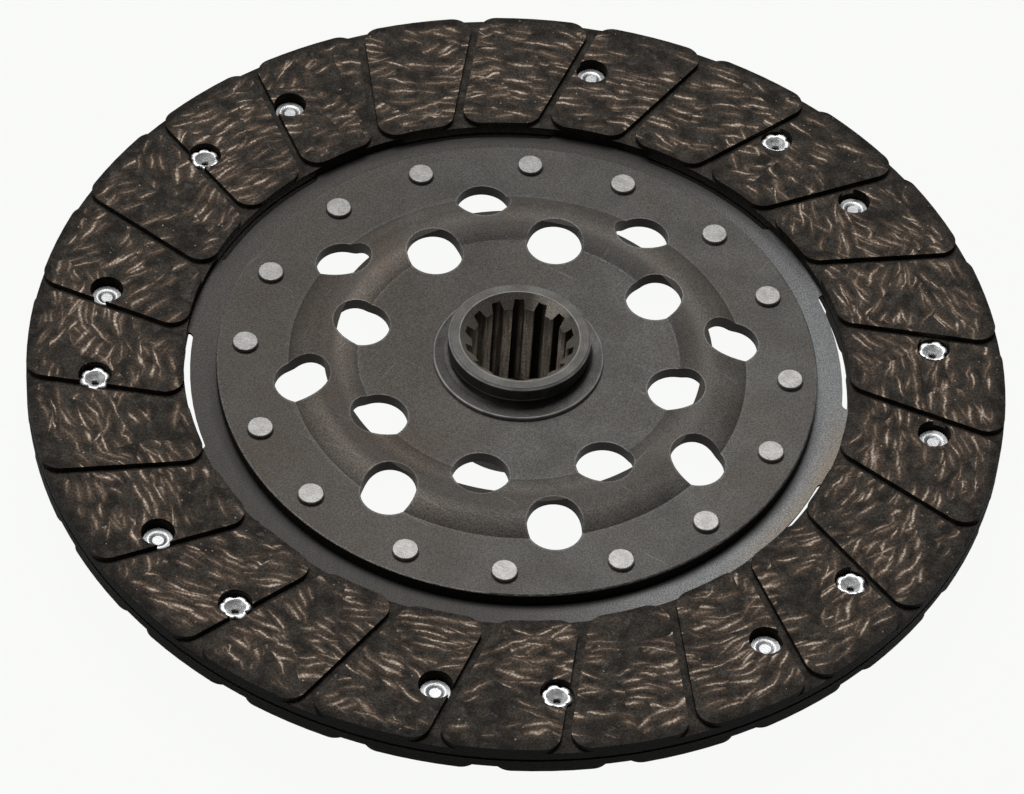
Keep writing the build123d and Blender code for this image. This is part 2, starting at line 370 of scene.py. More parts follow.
class DiscPlace:
    """Where a point of the disc is, in millimetres and turns, for patterns to follow."""

    def __init__(self, graph: Graph) -> None:
        """Read the point's place in a graph."""
        self.graph = graph
        coordinates = graph.node("ShaderNodeTexCoord")
        self.point = graph.scaled(graph.out(coordinates, "Object"), 1 / MM)
        self.x, self.y, self.height = graph.parts(self.point)
        self.radius = (self.x * self.x + self.y * self.y) ** 0.5
        self.angle = graph.math("ARCTAN2", self.y, self.x)

    def toward(self, direction: float) -> Signal:
        """Return 1 on the side of the disc that lies in a direction, falling to -1 opposite it."""
        return self.graph.math("COSINE", self.angle - math.radians(direction))

    def near_radius(self, radius: float, half_width: float) -> Signal:
        """Return 1 on a circle about the axis, and 0 farther from it than half_width."""
        return self.graph.smooth(abs(self.radius - radius), half_width, 0.0)

    def off_station(self, count: int, phase: float) -> Signal:
        """Return the angle in radians from the nearest of count even stations, one at phase."""
        pitch = math.tau / count
        start = math.radians(phase) - pitch / 2
        return self.graph.math("FLOORED_MODULO", self.angle - start, pitch) - pitch / 2

    def past_hole(self, count: int, circle: float, phase: float, diameter: float) -> Signal:
        """Return how far a point is from the edge of the nearest hole of a ring of holes.

        Args:
            count: How many holes the ring has.
            circle: The radius that they stand on, in millimetres.
            phase: The angle of one of them, in degrees.
            diameter: Their diameter, in millimetres.

        Returns:
            The distance in millimetres.
        """
        turned = self.off_station(count, phase)
        across = self.radius * self.graph.math("SINE", turned)
        out = self.radius * self.graph.math("COSINE", turned) - circle
        return (across * across + out * out) ** 0.5 - diameter / 2


# ---- Finishes ----


@dataclass(frozen=True)
class WovenLining:
    """Pressed friction lining: dark resin with yarn strands wound round the ring in bundles.

    Lengths are in millimetres.
    """

    name: str = "woven_lining"
    resin: Colour = (0.0160, 0.0134, 0.0108)
    resin_light: Colour = (0.0385, 0.0325, 0.0266)
    slate: Colour = (0.066, 0.066, 0.063)
    haze: Colour = (0.074, 0.052, 0.037)
    yarn: Colour = (0.150, 0.113, 0.084)
    yarn_bright: Colour = (0.44, 0.365, 0.295)
    bundles: tuple[tuple[float, float], ...] = ((17.0, 1.1), (12.0, 0.55))
    spread: float = 1.25
    cell_length: float = 10.5
    cell_width: float = 2.3
    half_length: float = 6.2
    half_width: float = 0.52
    strand_lean: float = 0.22
    strand_bow: float = 0.03
    bare_share: float = 0.10
    face_height: float = 3.72
    inner_radius: float = 77.7
    outer_radius: float = 114.0

    def build(self) -> bpy.types.Material:
        """Return the finished material."""
        graph = Graph(self.name)
        place = DiscPlace(graph)
        point = place.point
        on_face = graph.smooth(abs(place.height), self.face_height - 0.1, self.face_height)
        outer, inner = self.outer_radius, self.inner_radius
        inside = graph.smooth(place.radius, outer - 1.4, outer - 3.8)
        inside = inside * graph.smooth(place.radius, inner + 0.6, inner + 2.6)
        strands, halo = self._strands(graph, place)
        strands = strands * on_face * inside
        halo = halo * on_face * inside

        grain = graph.noise(point, 0.42, 4.0, 3.0)
        patches = graph.noise(point, 3.6, 3.0, 4.0)
        colour = graph.blend(graph.smooth(patches, 0.34, 0.66), self.resin, self.resin_light)
        slate = graph.smooth(graph.noise(point, 2.2, 2.0, 5.0), 0.60, 0.74) * on_face
        colour = graph.blend(slate * 0.55, colour, self.slate)
        colour = graph.blend(halo, colour, self.haze)
        colour = graph.blend(graph.smooth(strands, 0.03, 0.42), colour, self.yarn)
        colour = graph.blend(graph.smooth(strands, 0.42, 1.0), colour, self.yarn_bright)
        colour = graph.blend(self._specks(graph, point) * on_face, colour, self.yarn_bright)
        colour = graph.shaded(colour, self._shade(graph, place, grain, on_face))
        normal = graph.bump(graph.smooth(grain, 0.2, 0.8), 0.00014)
        rough = 0.82 - 0.18 * strands - 0.10 * slate
        return graph.finish(
            Base_Color=colour, Roughness=rough, Normal=normal, Specular_IOR_Level=0.16
        )

    def _shade(self, graph: Graph, place: DiscPlace, grain: Signal, on_face: Signal) -> Signal:
        """Return how light the lining is: grainy, darker at the rim, painted shade on its wall.

        Args:
            graph: The material's graph.
            place: The place on the lining.
            grain: Fine noise.
            on_face: 1 on the friction face.

        Returns:
            The factor for its colour.
        """
        shade = graph.smooth(grain, 0.28, 0.72) * 1.04 + 0.42
        rim = graph.smooth(place.radius, self.outer_radius - 3.4, self.outer_radius - 0.4)
        wall = graph.smooth(place.radius, self.outer_radius - 0.10, self.outer_radius - 0.02)
        # Painted shade: the outer wall below the friction face is darkened all round.
        return shade * (1 - 0.32 * rim) * (1 - 0.86 * wall * (1 - on_face))

    def _specks(self, graph: Graph, point: Signal) -> Signal:
        """Return a mask of small bright specks."""
        specks = graph.cells(graph.scaled(point, 1 / 1.4), "3D")
        lot, size, _ = specks.lots
        speck = graph.smooth(specks.distance - 0.10 * size, 0.12, 0.03)
        return speck * (lot > 0.88) * 0.55

    def _strands(self, graph: Graph, place: DiscPlace) -> tuple[Signal, Signal]:
        """Lay the winding's bundles over one another.

        Args:
            graph: The material's graph.
            place: The place on the lining.

        Returns:
            How bright the strand is at a point, and how deep the point lies in its stained halo.
        """
        bent = graph.warp(graph.warp(place.point, 18.0, 3.8, 1.0), 3.0, 0.70, 2.0)
        twist = graph.noise(place.point, 0.55, 2.0, 8.0) * 2.2 - 0.05
        strands: Amount = 0.0
        halo: Amount = 0.0
        for index, (size, share) in enumerate(self.bundles):
            strand, stain = self._bundle(graph, bent, size, share, 5.0 + 31.0 * index)
            strands = graph.largest(strands, strand)
            halo = graph.largest(halo, stain)
        return strands * twist, halo

    def _bundle(
        self, graph: Graph, bent: Signal, size: float, share: float, offset: float
    ) -> tuple[Signal, Signal]:
        """Return one layer of bundles, whose strands run round the ring within a spread.

        Args:
            graph: The material's graph.
            bent: The place that the strands follow, bent so that straight strands come out wavy.
            size: How wide a bundle is.
            share: The share of the bundles that is there.
            offset: A number that makes the layer differ from the others.

        Returns:
            The strands' brightness and their halo.
        """
        moved = graph.vector("ADD", graph.scaled(bent, 1 / size), (offset, offset, 0.0))
        bundle = graph.cells(moved, "2D")
        lean, chance, shift = bundle.lots
        middle_x, middle_y, _ = graph.parts(bundle.middle)
        round_ring = graph.math("ARCTAN2", middle_y - offset, middle_x - offset) + math.pi / 2
        lie = round_ring + (lean - 0.5) * self.spread
        turned = graph.turned(bent, 0 - lie)
        stretch = (1 / self.cell_length, 1 / self.cell_width, 0.0)
        stretched = graph.vector("MULTIPLY", turned, stretch)
        laid = graph.vector("ADD", stretched, graph.triple(shift * 40))
        cell = graph.cells(laid, "2D", 0.85)
        lot, tilt, bow = cell.lots
        along, across, _ = graph.parts(graph.vector("SUBTRACT", laid, cell.middle))
        along = along * self.cell_length
        across = across * self.cell_width
        across = across - (tilt - 0.5) * self.strand_lean * along
        across = across - (bow - 0.5) * self.strand_bow * along * along

        present = graph.smooth(bundle.distance, 0.78, 0.60)
        present = present * (chance < share) * (lot > self.bare_share)
        reach = along / (self.half_length * (0.35 + 0.65 * lot))
        width = across / (self.half_width * (0.60 + 0.8 * tilt))
        distance = (reach * reach + width * width) ** 0.5
        strand = graph.smooth(distance, 1.0, 0.05) * (0.32 + 0.75 * bow) * present
        wide = (reach * reach + width * width * 0.12) ** 0.5
        return strand, graph.smooth(wide, 1.25, 0.2) * present * 0.85


@dataclass(frozen=True)
class SheetSteel:
    """Drawn sheet steel with a dull phosphate skin, worn bright along its edges.

    Lengths are in millimetres and angles in degrees.
    """

    name: str = "phosphated_sheet"
    dark: Colour = (0.072, 0.068, 0.062)
    light: Colour = (0.100, 0.096, 0.089)
    brown: Colour = (0.080, 0.064, 0.051)
    rubbed_and_lit: Colour = (0.24, 0.235, 0.225)
    shadow_colour: Colour = (0.014, 0.011, 0.009)
    skin: Steel = Steel.PHOSPHATED
    roughness: float = 0.60
    hole_count: int = 8
    inner_holes: tuple[float, float, float] = (37.6, 35.6, 13.2)
    outer_holes: tuple[float, float, float] = (50.7, 13.3, 12.8)
    rim_radius: float = 70.1
    bead_radii: tuple[float, float] = (37.5, 53.4)
    light_side: float = -30.0
    # Sides of the disc where the bead gets painted shade and painted sheen.
    in_flank_dark: float = 45.0
    in_flank_sheen: float = 160.0
    out_flank_sheens: tuple[tuple[float, float], ...] = ((225.0, 0.60), (120.0, 0.30))
    crest_light: float = 80.0
    scuff_turns: tuple[tuple[float, float], ...] = ((0.5, 8.0), (2.1, 9.0))

    def build(self) -> bpy.types.Material:
        """Return the finished material."""
        graph = Graph(self.name)
        place = DiscPlace(graph)
        point = place.point
        grain = graph.noise(point, 0.34, 2.0, 1.0)
        cloud = graph.noise(point, 11.0, 4.0, 2.0)
        colour = graph.blend(graph.smooth(cloud, 0.30, 0.70), self.dark, self.light)
        stain = graph.smooth(graph.noise(point, 16.0, 3.0, 3.0), 0.48, 0.70)
        inner, outer = self.bead_radii
        on_bead = graph.smooth(place.radius, inner - 1, inner + 3)
        on_bead = on_bead * graph.smooth(place.radius, outer + 1, outer - 3)
        darker_side = graph.smooth(place.toward(self.light_side + 220), 0.0, 1.0)
        browned = stain * 0.35 + on_bead * 0.20 + darker_side * 0.40
        colour = graph.blend(browned, colour, self.brown)
        scuffs = self._scuffs(graph, place)
        wear_and_highlight = graph.largest(scuffs * 0.25, self._edges(graph, place))
        wear_and_highlight = graph.largest(wear_and_highlight, self._crease_highlight(graph, place) * 0.5)
        # Worn edges and scuffs, with a painted highlight along the bead's inner crease.
        colour = graph.blend(wear_and_highlight, colour, self.rubbed_and_lit)
        colour = graph.grainy(colour, grain, 0.34)
        colour = graph.shaded(colour, 0.80 + 0.12 * place.toward(self.light_side))
        # Painted light and shade on the bead's flanks and crest, by side of the disc.
        colour = graph.shaded(colour, self._bead_light(graph, place))
        # Painted shade on the cut walls of the rim and the holes.
        colour = graph.blend(self._walls(graph, place) * 0.85, colour, self.shadow_colour)
        relief = graph.smooth(grain, 0.2, 0.8) * 0.8 + graph.smooth(cloud, 0.2, 0.8) * 0.2
        rough = self.roughness + 0.16 * (grain - 0.5) + 0.12 * (cloud - 0.5) - 0.12 * wear_and_highlight
        return graph.finish(
            Base_Color=colour,
            Metallic=self.skin.value,
            Roughness=rough,
            Specular_IOR_Level=0.15,
            Normal=graph.bump(relief, 0.00003),
        )

    def _bead_light(self, graph: Graph, place: DiscPlace) -> Signal:
        """Return how light the bead is: painted light and shade on its flanks and top.

        Args:
            graph: The material's graph.
            place: The place on the plate.

        Returns:
            The factor for its colour, which is 1 on the flat lands.
        """
        inner, outer = self.bead_radii
        middle = (inner + outer) / 2
        in_flank = graph.smooth(abs(place.radius - (inner + 2.6)), 4.0, 1.0)
        out_flank = graph.smooth(abs(place.radius - (outer - 2.6)), 4.0, 1.0)
        crest = graph.smooth(abs(place.radius - middle), 4.0, 1.0)
        on_in = 0.10 - 0.45 * place.toward(self.in_flank_dark)
        on_in = on_in + graph.smooth(place.toward(self.in_flank_sheen), 0.70, 1.0)
        on_out: Amount = 0.40
        for direction, strength in self.out_flank_sheens:
            on_out = on_out + strength * graph.smooth(place.toward(direction), 0.75, 1.0)
        on_crest = 0.08 + 0.32 * place.toward(self.crest_light)
        return 1 + in_flank * on_in + out_flank * on_out + crest * on_crest

    def _walls(self, graph: Graph, place: DiscPlace) -> Signal:
        """Return a mask of the cut walls, the rim's and the holes', which take painted shade."""
        walls = graph.smooth(place.radius, self.rim_radius - 0.08, self.rim_radius - 0.02)
        return graph.largest(walls, graph.smooth(self._past_holes(place), 0.14, 0.03))

    def _past_holes(self, place: DiscPlace) -> Signal:
        """Return how far a point is past the edge of the nearest hole of both rings."""
        rings = (self.inner_holes, self.outer_holes)
        return place.graph.math("MINIMUM", *(place.past_hole(self.hole_count, *r) for r in rings))

    def _crease_highlight(self, graph: Graph, place: DiscPlace) -> Signal:
        """Return a mask of a painted highlight along the bead's inner crease, on one side of the
        disc.
        """
        crease = place.near_radius(self.bead_radii[0] + 0.1, 0.35)
        return crease * graph.smooth(place.toward(self.light_side + 70), 0.55, 0.95)

    def _edges(self, graph: Graph, place: DiscPlace) -> Signal:
        """Return a mask of the worn edges: the rim and both rings of holes."""
        edges = graph.smooth(place.radius, self.rim_radius - 0.5, self.rim_radius - 0.05) * 0.8
        edges = graph.largest(edges, graph.smooth(self._past_holes(place), 0.55, 0.15) * 0.35)
        return edges * (0.4 + graph.noise(place.point, 4.0, 2.0, 6.0) * 1.0)

    def _scuffs(self, graph: Graph, place: DiscPlace) -> Signal:
        """Return faint marks of handling, drawn out in two directions."""
        marks: Amount = 0.0
        for angle, seed in self.scuff_turns:
            turned = graph.turned(place.point, angle)
            drawn = graph.vector("MULTIPLY", turned, (0.06, 1.6, 0.3))
            mark = graph.smooth(graph.noise(drawn, 1.0, 2.0, seed), 0.66, 0.8)
            marks = graph.largest(marks, mark)
        return marks


@dataclass(frozen=True)
class SpringSteel:
    """Rolled spring steel: straw temper and a painted sheen on one side, painted shade on the
    other.

    Lengths are in millimetres and angles in degrees.
    """

    name: str = "rolled_spring_steel"
    dark_tone: Colour = (0.034, 0.031, 0.028)
    sheen: Colour = (0.108, 0.110, 0.111)
    straw: Colour = (0.130, 0.103, 0.072)
    shadow_colour: Colour = (0.010, 0.0095, 0.009)
    sheen_side: float = -12.0
    straw_side: float = -25.0
    darker_side: float = -122.0
    plate_shadow_side: float = -90.0
    facing_shadow_side: float = 95.0
    plate_radius: float = 70.1
    facing_radius: float = 77.7
    roughness: float = 0.46

    def build(self) -> bpy.types.Material:
        """Return the finished material."""
        graph = Graph(self.name)
        place = DiscPlace(graph)
        point = place.point
        grain = graph.noise(point, 0.30, 2.0, 1.0)
        cloud = graph.noise(point, 9.0, 3.0, 2.0)
        # Painted sheen: the ring is lighter on one side.
        sheen = graph.smooth(place.toward(self.sheen_side), 0.12, 1.0)
        colour = graph.blend(sheen * (0.8 + 0.4 * cloud), self.dark_tone, self.sheen)
        temper = graph.smooth(place.toward(self.straw_side), 0.90, 1.0)
        temper = temper * graph.smooth(place.radius, self.plate_radius + 1.4, self.facing_radius)
        colour = graph.blend(temper * 0.75, colour, self.straw)
        colour = graph.grainy(colour, grain, 0.42)
        # Painted shade: the ring is darker on the opposite side.
        dark_side_shade = graph.smooth(place.toward(self.darker_side), 0.35, 1.0)
        colour = graph.blend(dark_side_shade * 0.40, colour, self.shadow_colour)
        # Painted shadow where the hub plate and the facing shade the ring's corners.
        colour = graph.blend(self._corner_shadows(graph, place, cloud), colour, self.shadow_colour)
        drawn = graph.vector("MULTIPLY", point, (2.2, 0.10, 1.0))
        rolling = graph.noise(drawn, 1.0, 2.0, 5.0)
        relief = graph.smooth(grain, 0.2, 0.8) * 0.6 + rolling * 0.4
        rough = self.roughness + 0.16 * (grain - 0.5) + 0.10 * (rolling - 0.5)
        return graph.finish(
            Base_Color=colour,
            Metallic=Steel.OILED.value,
            Roughness=rough,
            Specular_IOR_Level=0.2,
            Normal=graph.bump(relief, 0.000018),
        )

    def _corner_shadows(self, graph: Graph, place: DiscPlace, cloud: Signal) -> Signal:
        """Return a mask of painted shadow in the ring's two corners, by the hub plate and the
        facing.

        Args:
            graph: The material's graph.
            place: The place on the ring.
            cloud: Soft noise that makes its edge uneven.

        Returns:
            The mask.
        """
        radius = place.radius + 0.8 * (cloud - 0.5)
        by_plate = graph.smooth(radius, self.plate_radius + 3.1, self.plate_radius + 0.7)
        by_plate = by_plate * graph.smooth(place.toward(self.plate_shadow_side), -0.15, 0.65)
        by_facing = graph.smooth(radius, self.facing_radius - 4.4, self.facing_radius - 1.3)
        by_facing = by_facing * graph.smooth(place.toward(self.facing_shadow_side), 0.15, 0.80)
        return graph.largest(by_plate * 0.95, by_facing * 0.8)


@dataclass(frozen=True)
class TurnedSteel:
    """Forged steel with a turned band and collar, and a broached bore.

    Lengths are in millimetres.
    """

    name: str = "turned_forging"
    dark: Colour = (0.066, 0.063, 0.058)
    light: Colour = (0.108, 0.104, 0.098)
    mouth: Colour = (0.200, 0.178, 0.152)
    tooth: Colour = (0.840, 0.755, 0.660)
    tooth_count: int = 14
    spline_phase: float = 16.95
    shadow_colour: Colour = (0.020, 0.017, 0.014)
    tooth_radius: float = 11.0
    rubbed_and_lit: Colour = (0.44, 0.435, 0.42)
    rim_radius: float = 16.6
    collar_radius: float = 19.9
    bore_radius: float = 13.9
    top_height: float = 12.4
    band_height: float = 3.9
    mouth_light: float = -110.0
    mouth_glint: float = 58.0
    band_light: float = 215.0
    collar_light: float = 40.0
    step_light: float = -125.0
    roughness: float = 0.58

    def build(self) -> bpy.types.Material:
        """Return the finished material."""
        graph = Graph(self.name)
        place = DiscPlace(graph)
        point = place.point
        grain = graph.noise(point, 0.26, 2.0, 1.0)
        cloud = graph.noise(point, 5.0, 4.0, 2.0)
        colour = graph.blend(graph.smooth(cloud, 0.3, 0.7), self.dark, self.light)
        below_cone = self.top_height - place.height - (self.bore_radius - place.radius)
        in_mouth = graph.smooth(place.radius, self.bore_radius + 0.05, self.bore_radius - 0.15)
        glint = graph.smooth(place.toward(self.mouth_glint), 0.90, 1.0)
        lit = 0.75 + 0.25 * place.toward(self.mouth_light) + 1.1 * glint
        colour = graph.blend(in_mouth * 0.85, colour, graph.shaded(self.mouth, lit))
        in_bore = in_mouth * graph.smooth(below_cone, 0.10, 0.35)
        colour = graph.blend(in_bore, colour, self._bore(graph, place))
        on_edge = graph.smooth(place.height, self.top_height - 0.75, self.top_height - 0.45)
        edge = place.near_radius(self.rim_radius - 0.15, 0.45) * on_edge
        edge = graph.largest(edge, place.near_radius(self.bore_radius + 0.1, 0.30) * 0.3)
        edge = graph.largest(edge, place.near_radius(self.collar_radius - 0.1, 0.40))
        edge = graph.largest(edge, self._step(graph, place))
        rubbing = graph.smooth(graph.noise(point, 3.4, 3.0, 6.0), 0.32, 0.62)
        wear_and_highlight = edge * (0.55 + 0.45 * rubbing)
        colour = graph.grainy(colour, grain, 0.42)
        tool_marks = graph.math("SINE", place.radius * 26.0) * 0.5 + 0.5
        rings = graph.math("SINE", place.height * 22.0) * 0.5 + 0.5
        on_top = graph.smooth(place.height, self.top_height - 0.4, self.top_height - 0.1)
        outside = graph.smooth(place.radius, self.bore_radius, self.bore_radius + 1)
        on_collar = graph.smooth(place.radius, self.rim_radius + 0.4, self.rim_radius + 1.0)
        band = 0.52 + 0.40 * place.toward(self.band_light)
        side = band + on_collar * (0.88 + 0.45 * place.toward(self.collar_light) - band)
        colour = graph.shaded(colour, 1 - (1 - side) * (1 - on_top) * outside)
        # Worn bright edges, partly painted highlight, with a painted highlight along the band's
        # lower edge.
        colour = graph.blend(wear_and_highlight * 0.75, colour, self.rubbed_and_lit)
        relief = tool_marks * on_top + rings * (1 - on_top)
        relief = relief * 0.35 + graph.smooth(grain, 0.2, 0.8) * 0.65
        rough = self.roughness + 0.18 * (grain - 0.5) + 0.10 * (cloud - 0.5) - 0.08 * wear_and_highlight
        return graph.finish(
            Base_Color=colour,
            Metallic=Steel.OILED.value,
            Roughness=rough,
            Specular_IOR_Level=0.2,
            Normal=graph.bump(relief, 0.00002),
        )

    def _step(self, graph: Graph, place: DiscPlace) -> Signal:
        """Return a mask of a painted highlight along the band's lower edge, on one side."""
        under_band = self.top_height - self.band_height
        line = graph.smooth(abs(place.height - under_band - 0.15), 0.30, 0.08)
        line = line * place.near_radius(self.rim_radius, 0.5)
        return line * graph.smooth(place.toward(self.step_light), 0.25, 0.80)

    def _bore(self, graph: Graph, place: DiscPlace) -> Signal:
        """Return the colour of the spline: polished teeth, with painted light and shade.

        Args:
            graph: The material's graph.
            place: The place on the hub.

        Returns:
            The colour.
        """
        tooth = graph.smooth(place.radius, self.tooth_radius + 0.7, self.tooth_radius + 0.15)
        off_tooth = place.off_station(self.tooth_count, self.spline_phase)
        # Painted light on one flank of each space, painted shade on the rest of it.
        flank = graph.smooth(off_tooth, 0.02, -0.09) * 0.5
        # Painted shade: the spline darkens toward the top of the bore.
        deep = graph.smooth(place.height, self.top_height - 2.0, self.top_height - 12.0)
        drawn = graph.vector("MULTIPLY", place.point, (1.6, 1.6, 0.12))
        streaks = 0.55 + 0.9 * graph.smooth(graph.noise(drawn, 1.0, 3.0, 9.0), 0.3, 0.7)
        polish_and_light = graph.largest(tooth, flank) * (0.34 + 0.66 * deep) * streaks
        return graph.blend(polish_and_light, self.shadow_colour, self.tooth)


@dataclass(frozen=True)
class RivetSteel:
    """Bright rivet steel, with a soft grain and darker pits."""

    name: str = "pressed_rivet_head"
    tone: Colour = (0.30, 0.292, 0.28)
    shade: Colour = (0.22, 0.213, 0.203)
    roughness: float = 0.52
    grain_size: float = 0.32
    relief: float = 0.00002
    light_side: float = -35.0

    def build(self) -> bpy.types.Material:
        """Return the finished material."""
        graph = Graph(self.name)
        place = DiscPlace(graph)
        point = place.point
        grain = graph.noise(point, self.grain_size, 4.0, 1.0)
        cloud = graph.noise(point, 2.2, 2.0, 2.0)
        colour = graph.blend(graph.smooth(cloud, 0.30, 0.72), self.shade, self.tone)
        colour = graph.grainy(colour, grain, 0.22)
        colour = graph.shaded(colour, 0.90 + 0.14 * place.toward(self.light_side))
        colour = self._mark(graph, place, colour)
        rough = self.roughness + 0.20 * (grain - 0.5) + 0.10 * (cloud - 0.5)
        return graph.finish(
            Base_Color=colour,
            Metallic=Steel.BARE.value,
            Roughness=rough,
            Normal=graph.bump(graph.smooth(grain, 0.2, 0.8), self.relief),
        )

    def _mark(self, graph: Graph, place: DiscPlace, colour: Signal) -> Signal:
        """Return the colour with what making the head leaves on it, which is nothing here."""
        return colour


@dataclass(frozen=True)
class DishedHeadSteel(RivetSteel):
    """The plated head of a tubular rivet, with painted highlights round its dish.

    Lengths are in millimetres and angles in degrees.
    """

    name: str = "plated_rivet_head"
    tone: Colour = (0.27, 0.272, 0.275)
    shade: Colour = (0.17, 0.17, 0.17)
    bright: Colour = (0.64, 0.65, 0.66)
    roughness: float = 0.44
    station: tuple[int, float, float] = (8, 98.2, 38.2)
    ring_radius: float = 2.15
    rim_radius: float = 3.45

    def _mark(self, graph: Graph, place: DiscPlace, colour: Signal) -> Signal:
        """Return the colour with painted highlights: a ring round the dish, the rim and the middle.
        """
        out = place.past_hole(*self.station, 0.0)
        ring = graph.smooth(abs(out - self.ring_radius), 0.38, 0.05)
        rim = graph.smooth(abs(out - self.rim_radius), 0.28, 0.0)
        middle = graph.smooth(out, 1.5, 1.1)
        colour = graph.blend(graph.largest(ring, rim * 0.7), colour, self.bright)
        return graph.blend(middle * 0.3, colour, self.bright)


@dataclass(frozen=True)
class CurledEndSteel(RivetSteel):
    """The plated, curled and split end of a tubular rivet, with a dark bore.

    Lengths are in millimetres and angles in degrees.
    """

    name: str = "plated_rivet_end"
    tone: Colour = (0.86, 0.87, 0.88)
    shade: Colour = (0.60, 0.60, 0.60)
    shadow_colour: Colour = (0.015, 0.014, 0.013)
    inner: Colour = (0.66, 0.66, 0.655)
    roughness: float = 0.48
    grain_size: float = 0.8
    relief: float = 0.00006
    station: tuple[int, float, float] = (8, 98.2, 53.95)
    funnel_radius: float = 2.1
    bore_radius: float = 0.70
    floor_height: float = 0.6

    def _mark(self, graph: Graph, place: DiscPlace, colour: Signal) -> Signal:
        """Return the colour with a duller funnel and a painted shadow on the bore's floor."""
        out = place.past_hole(*self.station, 0.0)
        funnel = graph.smooth(out, self.funnel_radius, self.bore_radius + 0.3)
        colour = graph.blend(funnel * 0.8, colour, self.inner)
        floor = graph.smooth(place.height, self.floor_height + 0.3, self.floor_height)
        floor = floor * graph.smooth(out, self.bore_radius + 0.2, self.bore_radius)
        return graph.blend(floor * 0.9, colour, self.shadow_colour)


# ---- Sub-assemblies ----


def dress(node: bpy.types.Object, material: bpy.types.Material) -> None:
    """Give a node of the solid model one material all over.

    Args:
        node: The node's object.
        material: The finish it gets.
    """
    for slot in node.material_slots:
        slot.link = "OBJECT"
        slot.material = material
    log.info("%s: %s", node.name, material.name)


@dataclass
class SubAssembly:
    """Pieces that share one finish."""

    nodes: Mapping[str, bpy.types.Object]
    finish: Any
    names: Sequence[str] = ()
    prefix: str = ""

    def members(self) -> list[bpy.types.Object]:
        """Return the nodes with these names, or whose names start with the prefix."""
        if self.names:
            return [self.nodes[name] for name in self.names]
        return [node for name, node in sorted(self.nodes.items()) if name.startswith(self.prefix)]

    def build(self) -> None:
        """Make the finish and dress every member with it."""
        material = self.finish.build()
        for node in self.members():
            dress(node, material)


@dataclass
class Facings(SubAssembly):
    """The two grooved friction facings."""

    names: Sequence[str] = ("upper_facing", "lower_facing")
    finish: WovenLining = WovenLining()


@dataclass
class CushionPlate(SubAssembly):
    """The spring-steel ring between the facings."""

    names: Sequence[str] = ("cushion_plate",)
    finish: SpringSteel = SpringSteel()


@dataclass
class HubPlate(SubAssembly):
    """The drawn disc with its bead and its sixteen holes."""

    names: Sequence[str] = ("hub_plate",)
    finish: SheetSteel = SheetSteel()


@dataclass
class Hub(SubAssembly):
    """The splined hub."""

    names: Sequence[str] = ("hub",)
    finish: TurnedSteel = TurnedSteel()


@dataclass
class PlateRivets(SubAssembly):
    """The flat-headed rivets round the hub plate's rim."""

    prefix: str = "plate_rivet"
    finish: RivetSteel = RivetSteel()


@dataclass
class HeadUpRivets(SubAssembly):
    """The tubular rivets that show their dished heads."""

    prefix: str = "facing_rivet_down"
    finish: RivetSteel = DishedHeadSteel()


